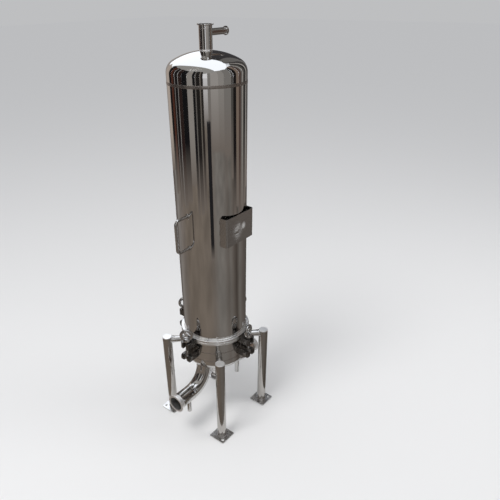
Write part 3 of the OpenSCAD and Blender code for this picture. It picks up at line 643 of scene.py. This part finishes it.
def soft_spot(centre, spread, strength):
    """A mask that fades out round a centre, with its own reach along each axis."""
    shift = tree.new("ShaderNodeVectorMath")
    shift.operation = "SUBTRACT"
    shift.inputs[1].default_value = centre
    link(place.outputs["Object"], shift.inputs[0])
    squeeze = tree.new("ShaderNodeVectorMath")
    squeeze.operation = "DIVIDE"
    squeeze.inputs[1].default_value = spread
    link(shift.outputs[0], squeeze.inputs[0])
    reach = tree.new("ShaderNodeVectorMath")
    reach.operation = "LENGTH"
    link(squeeze.outputs[0], reach.inputs[0])
    fade = tree.new("ShaderNodeMapRange")
    fade.interpolation_type = "SMOOTHERSTEP"
    fade.inputs["From Min"].default_value = 1.0
    fade.inputs["From Max"].default_value = 0.0
    fade.inputs["To Max"].default_value = strength
    link(reach.outputs["Value"], fade.inputs["Value"])
    return fade.outputs["Result"]


wiped = tree.new("ShaderNodeVectorMath")
wiped.operation = "MULTIPLY"
wiped.inputs[1].default_value = (0.5, 1, 1.6)
link(place.outputs["Object"], wiped.inputs[0])
streaks = tree.new("ShaderNodeTexNoise")
streaks.inputs["Scale"].default_value = 60
streaks.inputs["Detail"].default_value = 5
streaks.inputs["Roughness"].default_value = 0.65
link(wiped.outputs[0], streaks.inputs["Vector"])
streaky = tree.new("ShaderNodeMapRange")
streaky.inputs["From Min"].default_value = 0.40
streaky.inputs["From Max"].default_value = 0.68
link(streaks.outputs["Fac"], streaky.inputs["Value"])
smear = tree.new("ShaderNodeMath")
smear.operation = "MULTIPLY"
link(streaky.outputs["Result"], smear.inputs[0])
link(soft_spot((-0.012, -0.132, 0.905), (0.042, 0.03, 0.046), 0.85), smear.inputs[1])
dust = tree.new("ShaderNodeMath")
dust.operation = "MAXIMUM"
link(smear.outputs[0], dust.inputs[0])
link(soft_spot((0.018, -0.132, 0.914), (0.017, 0.03, 0.019), 0.9), dust.inputs[1])
powder = tree.new("ShaderNodeMix")
powder.data_type = "RGBA"
powder.inputs["B"].default_value = (0.50, 0.49, 0.475, 1)
link(dust.outputs[0], powder.inputs["Factor"])
link(tree["shade"].outputs["Result"], powder.inputs["A"])
link(powder.outputs["Result"], tree["Principled BSDF"].inputs["Base Color"])
bare = tree.new("ShaderNodeMath")
bare.operation = "SUBTRACT"
bare.inputs[0].default_value = 1.0
link(dust.outputs[0], bare.inputs[1])
link(bare.outputs[0], tree["Principled BSDF"].inputs["Metallic"])
dress(bracket_steel, "nameplate_bracket")
edge_x = 0.0765
edge_y = -math.sqrt(shell_radius ** 2 - edge_x ** 2)
stitch_radius, stitch_stretch = 0.0014, 7
stitches = []
for side in (-1, 1):
    for height in (0.871, 0.910, 0.949):
        bpy.ops.object.select_all(action="DESELECT")
        bpy.ops.mesh.primitive_uv_sphere_add(segments=12, ring_count=8, radius=stitch_radius,
            location=(side * edge_x, edge_y, height))
        stitch = bpy.context.object
        stitch.scale = (1, 1, stitch_stretch)
        bpy.ops.object.transform_apply(location=True, rotation=True, scale=True)
        bpy.ops.object.mode_set(mode="EDIT")
        bpy.ops.mesh.select_all(action="SELECT")
        bpy.ops.transform.vertex_random(offset=0.0002, seed=5)
        bpy.ops.object.mode_set(mode="OBJECT")
        bpy.ops.object.shade_smooth()
        stitches.append(stitch)
weld_group("bracket_welds", stitches)

# Each closure swings between a slotted fork lug on the bell's ring and a pair of
# clevis plates on the base. Lugs and plates are rough-cast and machined, and their
# near-black tint is painted shade.
lug_steel = polished_metal("lug_steel",
    tint=(0.20, 0.192, 0.184), hazy_tint=(0.12, 0.115, 0.11), roughness=(0.15, 0.30),
    ripple_scale=70, ripple_depth=0.0002, haze_scale=60)
dress(lug_steel, "fork_lugs", "clevis_lugs")
closure_bearings = (0, 90, 180, 270)
plate_offset, plate_width, plate_height, pivot_height = 0.015, 0.010, 0.030, 0.380
lug_half_width, ring_radius = 0.020, 0.140


def pick_points(piece, wanted):
    """Goes into edit mode with just the points selected that pass the test."""
    bpy.ops.object.mode_set(mode="EDIT")
    bpy.ops.mesh.select_mode(type="VERT")
    bpy.ops.mesh.select_all(action="DESELECT")
    bpy.ops.object.mode_set(mode="OBJECT")
    for point in piece.data.vertices:
        point.select = wanted(point.co)
    bpy.ops.object.mode_set(mode="EDIT")


lug_bead, top_bead, off_rim, under_top = 0.0013, 0.0012, 0.0005, 0.0012
lug_beads = []
for bearing in closure_bearings:
    turn = Matrix.Rotation(math.radians(bearing), 4, "Z")
    for side in (-1, 1):
        bpy.ops.object.select_all(action="DESELECT")
        bpy.ops.mesh.primitive_plane_add(size=1)
        frame_bead = bpy.context.object
        bpy.ops.object.mode_set(mode="EDIT")
        bpy.ops.mesh.delete(type="ONLY_FACE")
        bpy.ops.mesh.select_all(action="SELECT")
        bpy.ops.mesh.subdivide(number_cuts=6)
        bpy.ops.object.mode_set(mode="OBJECT")
        frame_bead.matrix_world = (turn
            @ Matrix.Translation((off_shell, side * plate_offset, pivot_height))
            @ Matrix.Rotation(-math.pi / 2, 4, "Y")
            @ Matrix.Diagonal((plate_height, plate_width, 1, 1)))
        bpy.ops.object.transform_apply(location=False, rotation=False, scale=True)
        lay_on(frame_bead, "base_shell")
        lug_beads.append(finish_bead(frame_bead, lug_bead))
    bpy.ops.object.select_all(action="DESELECT")
    bpy.ops.mesh.primitive_circle_add(vertices=240, radius=ring_radius - off_rim,
        location=(0, 0, ring_top - under_top), rotation=(0, 0, math.radians(bearing)))
    arc = bpy.context.object
    pick_points(arc, lambda point: point.x < 0 or abs(point.y) > lug_half_width)
    bpy.ops.mesh.delete(type="VERT")
    bpy.ops.object.mode_set(mode="OBJECT")
    lug_beads.append(finish_bead(arc, top_bead))
weld_group("lug_welds", lug_beads)

# A headed pin with a snap ring holds each swing bolt between its clevis plates.
# The bolt is forged with an eye, which is faced and bored, and its shank has a
# rolled M12 thread from the neck to the tip. Pins, rings and washers are stock.
bolt_steel = polished_metal("bolt_steel",
    tint=(0.46, 0.45, 0.44), hazy_tint=(0.30, 0.29, 0.28), roughness=(0.18, 0.32),
    ripple_scale=60, ripple_depth=0.0001, haze_scale=60)
dress(bolt_steel, "clevis_pins", "pin_clips", "washer_1", "washer_2", "washer_3", "washer_4")
bolt_radius, pin_radius, running_fit = 0.172, 0.006, 0.00005
eye_radius, eye_width, eye_bevel = 0.013, 0.019, 0.0007
neck_foot, neck_top, neck_radius = 0.387, 0.402, 0.0088
crest_radius, root_radius, thread_pitch = 0.00594, 0.0053, 0.00175
tip_height, tip_chamfer, thread_foot = 0.4701, 0.001, 0.3985


def boolean(body, tool, operation):
    """Joins a tool to a body, or cuts it out, and does away with the tool."""
    step = body.modifiers.new("step", "BOOLEAN")
    step.operation = operation
    step.solver = "EXACT"
    step.object = tool
    bpy.context.view_layer.objects.active = body
    bpy.ops.object.modifier_apply(modifier="step")
    bpy.data.objects.remove(tool)


bpy.ops.object.select_all(action="DESELECT")
bpy.ops.mesh.primitive_cylinder_add(vertices=96, radius=eye_radius, depth=eye_width,
    location=(0, 0, pivot_height), rotation=stood_up)
forging = bpy.context.object
rounding = forging.modifiers.new("rounding", "BEVEL")
rounding.width = eye_bevel
rounding.segments = 2
bpy.ops.object.modifier_apply(modifier="rounding")
bpy.ops.mesh.primitive_cone_add(vertices=64, radius1=neck_radius, radius2=crest_radius,
    depth=neck_top - neck_foot, location=(0, 0, (neck_foot + neck_top) / 2))
boolean(forging, bpy.context.object, "UNION")
bpy.ops.mesh.primitive_cylinder_add(vertices=48, radius=root_radius,
    depth=tip_height - tip_chamfer - neck_foot,
    location=(0, 0, (tip_height - tip_chamfer + neck_foot) / 2))
shank = bpy.context.object
bpy.ops.object.transform_apply(location=True, rotation=True, scale=True)
pick_points(shank, lambda point: point.z > tip_height - 1.5 * tip_chamfer)
bpy.ops.mesh.extrude_region_move(TRANSFORM_OT_translate={"value": (0, 0, tip_chamfer)})
tip_share = 1 - tip_chamfer / root_radius
bpy.ops.transform.resize(value=(tip_share, tip_share, 1))
bpy.ops.object.mode_set(mode="OBJECT")
boolean(forging, shank, "UNION")
bpy.ops.mesh.primitive_cylinder_add(vertices=96, radius=pin_radius + running_fit,
    depth=2 * eye_width, location=(0, 0, pivot_height), rotation=stood_up)
boolean(forging, bpy.context.object, "DIFFERENCE")

# The thread's ridge is one closed rib, wound up the shank from inside the neck.
# It is narrower at its crest, and a step of the turn is 15 degrees.
ridge_foot, ridge_share, crest_share, turn_steps = root_radius - 0.0003, 0.84, 0.2, 24
bpy.ops.object.select_all(action="DESELECT")
bpy.ops.mesh.primitive_plane_add(size=1, rotation=stood_up,
    location=((crest_radius + ridge_foot) / 2, 0, thread_foot))
ridge = bpy.context.object
ridge.scale = (crest_radius - ridge_foot, ridge_share * thread_pitch, 1)
bpy.ops.object.transform_apply(location=True, rotation=True, scale=True)
bpy.ops.object.mode_set(mode="EDIT")
bpy.ops.mesh.delete(type="ONLY_FACE")
bpy.ops.object.mode_set(mode="OBJECT")
pick_points(ridge, lambda point: point.x > root_radius)
bpy.ops.transform.resize(value=(1, 1, crest_share))
bpy.ops.object.mode_set(mode="OBJECT")
winding = ridge.modifiers.new("winding", "SCREW")
winding.screw_offset = thread_pitch
winding.iterations = int((tip_height - tip_chamfer - thread_foot) / thread_pitch)
winding.steps = winding.render_steps = turn_steps
bpy.ops.object.modifier_apply(modifier="winding")
bpy.ops.object.mode_set(mode="EDIT")
bpy.ops.mesh.select_all(action="SELECT")
bpy.ops.mesh.remove_doubles(threshold=same_point)
bpy.ops.mesh.fill_holes(sides=4)
bpy.ops.mesh.select_all(action="SELECT")
bpy.ops.mesh.normals_make_consistent(inside=False)
bpy.ops.object.mode_set(mode="OBJECT")
forging.select_set(True)
bpy.context.view_layer.objects.active = forging
bpy.ops.object.join()
bpy.ops.object.shade_smooth_by_angle(angle=crease_angle)
forging.data.materials.clear()
forging.data.materials.append(bolt_steel)
forging.location.x = bolt_radius
bpy.ops.object.transform_apply(location=True, rotation=True, scale=True)
for number, bearing in enumerate(closure_bearings, 1):
    bpy.ops.object.select_all(action="DESELECT")
    forging.select_set(True)
    bpy.context.view_layer.objects.active = forging
    bpy.ops.object.duplicate()
    bolt = bpy.context.object
    bolt.name = f"threaded_bolt_{number}"
    bolt.rotation_euler.z = math.radians(bearing)
    bpy.ops.object.transform_apply(location=True, rotation=True, scale=True)
    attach(bolt, f"bolt_{number}")
    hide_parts(f"swing_bolt_{number}")
bpy.data.objects.remove(forging)

# A lifting eye nut with a ring as its handle tightens each closure over a thick
# washer. The nuts are cast and tumbled, which leaves a bright, uneven skin.
nut_steel = polished_metal("nut_steel",
    tint=(0.60, 0.59, 0.58), hazy_tint=(0.42, 0.41, 0.40), roughness=(0.07, 0.18),
    ripple_scale=60, ripple_depth=0.0003, haze_scale=60)
dress(nut_steel, "eye_nut_1", "eye_nut_2", "eye_nut_3", "eye_nut_4")
